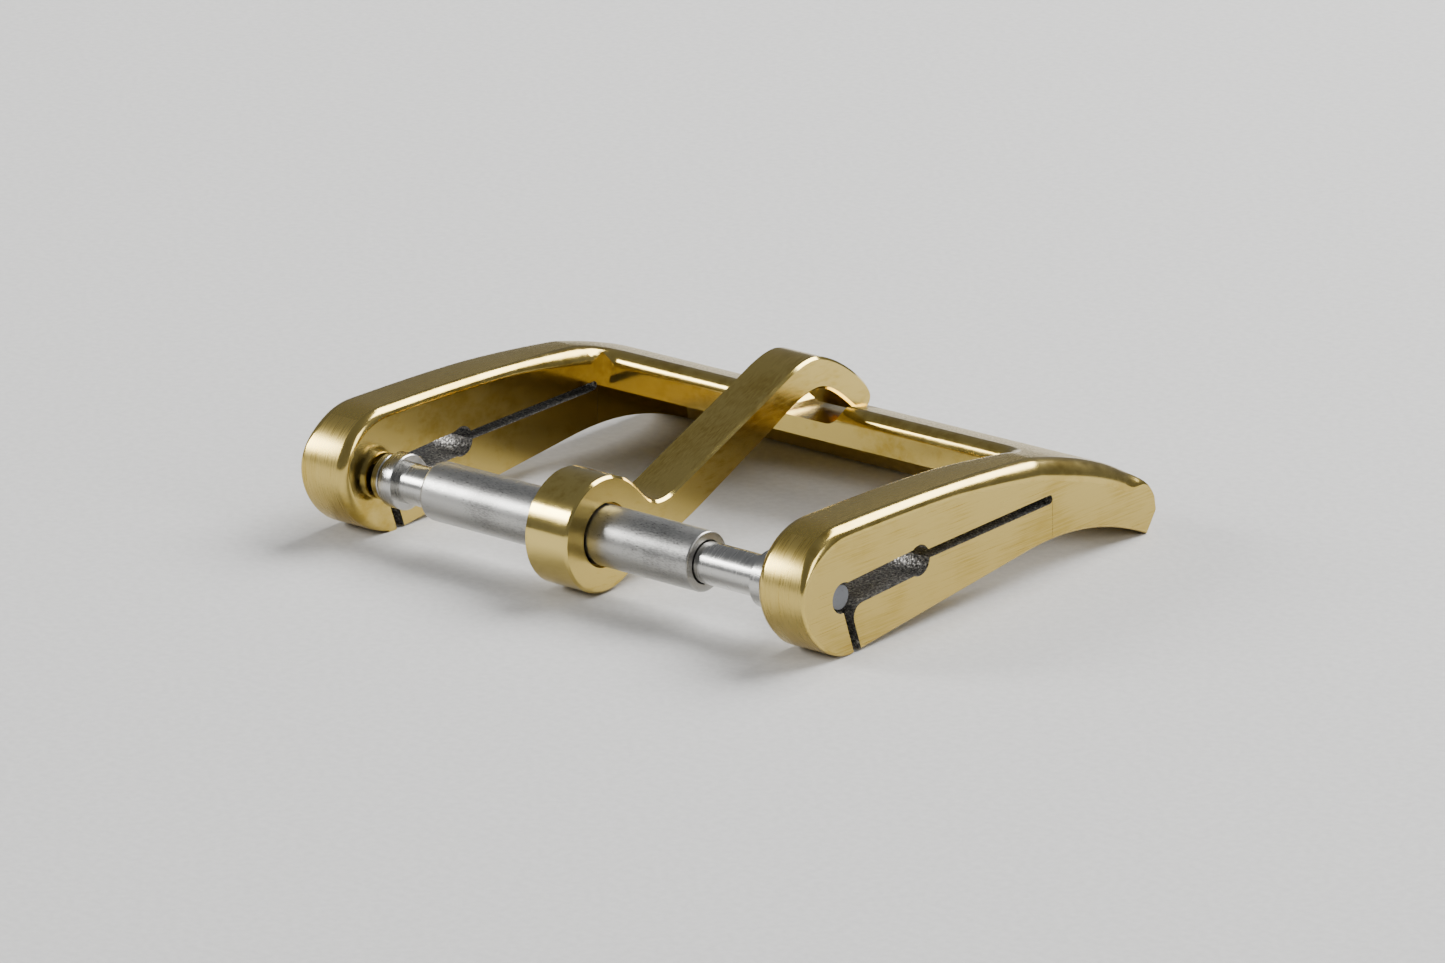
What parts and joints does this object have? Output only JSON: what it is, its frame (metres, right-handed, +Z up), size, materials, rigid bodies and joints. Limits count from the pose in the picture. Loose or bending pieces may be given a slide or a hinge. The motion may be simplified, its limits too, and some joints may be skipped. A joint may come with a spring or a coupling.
{
  "type": "pin buckle",
  "caption": "Watch-strap pin buckle: curved open frame with slotted spring arms, hooked tang and a sprung bar across the arms.",
  "frame": {"origin": "centre of the footprint, on the surface the buckle stands on", "axes": "+X along the bar, +Y from the bar to the crossbar, +Z up through the arms"},
  "size_m": [0.0196, 0.0162, 0.0049],
  "materials": {
    "gold_frame": "gold-plated stainless steel, brushed flats and polished edges",
    "gold_tang": "gold-plated stainless steel, satin top and polished eye",
    "satin_steel": "fine satin stainless steel",
    "spring_steel": "drawn spring wire"
  },
  "bodies": {
    "frame": {"frame": "gold_frame"},
    "leaf_left": {"leaf_left": "gold_frame"},
    "leaf_right": {"leaf_right": "gold_frame"},
    "bar": {"bar_spring": "spring_steel"},
    "tube": {"bar_tube": "satin_steel"},
    "plunger_left": {"plunger_left": "satin_steel"},
    "plunger_right": {"plunger_right": "satin_steel"},
    "tang": {"tang": "gold_tang"}
  },
  "joints": [
    {"name": "leaf_left_flex", "type": "hinge", "parent": "frame", "child": "leaf_left", "pos_m": [-0.0089, 0.00312, 0.0016], "axis": [1, 0, 0], "range_deg": [0, 0.8], "stiffness_Nm_per_rad": 0.02, "springref_deg": -0.29},
    {"name": "leaf_right_flex", "type": "hinge", "parent": "frame", "child": "leaf_right", "pos_m": [0.0089, 0.00312, 0.0016], "axis": [1, 0, 0], "range_deg": [0, 0.8], "stiffness_Nm_per_rad": 0.02, "springref_deg": -0.29},
    {"name": "bar_slide", "type": "slide", "parent": "frame", "child": "bar", "axis": [0, 0.9981, 0.062], "range_m": [0, 0.00338]},
    {"name": "tube_spin", "type": "hinge", "parent": "bar", "child": "tube", "pos_m": [-0.00055, -0.00632, 0.0018], "axis": [1, 0, 0], "continuous": true},
    {"name": "plunger_left_press", "type": "slide", "parent": "bar", "child": "plunger_left", "axis": [1, 0, 0], "range_m": [0, 0.0011], "stiffness_N_per_m": 100, "springref_m": -0.002, "deforming": ["bar_spring"]},
    {"name": "plunger_right_press", "type": "slide", "parent": "bar", "child": "plunger_right", "axis": [-1, 0, 0], "range_m": [0, 0.0021], "stiffness_N_per_m": 100, "springref_m": -0.002, "deforming": ["bar_spring"]},
    {"name": "tang_hinge", "type": "hinge", "parent": "bar", "child": "tang", "pos_m": [0, -0.00632, 0.0018], "axis": [1, 0, 0], "range_deg": [0, 170]}
  ]
}
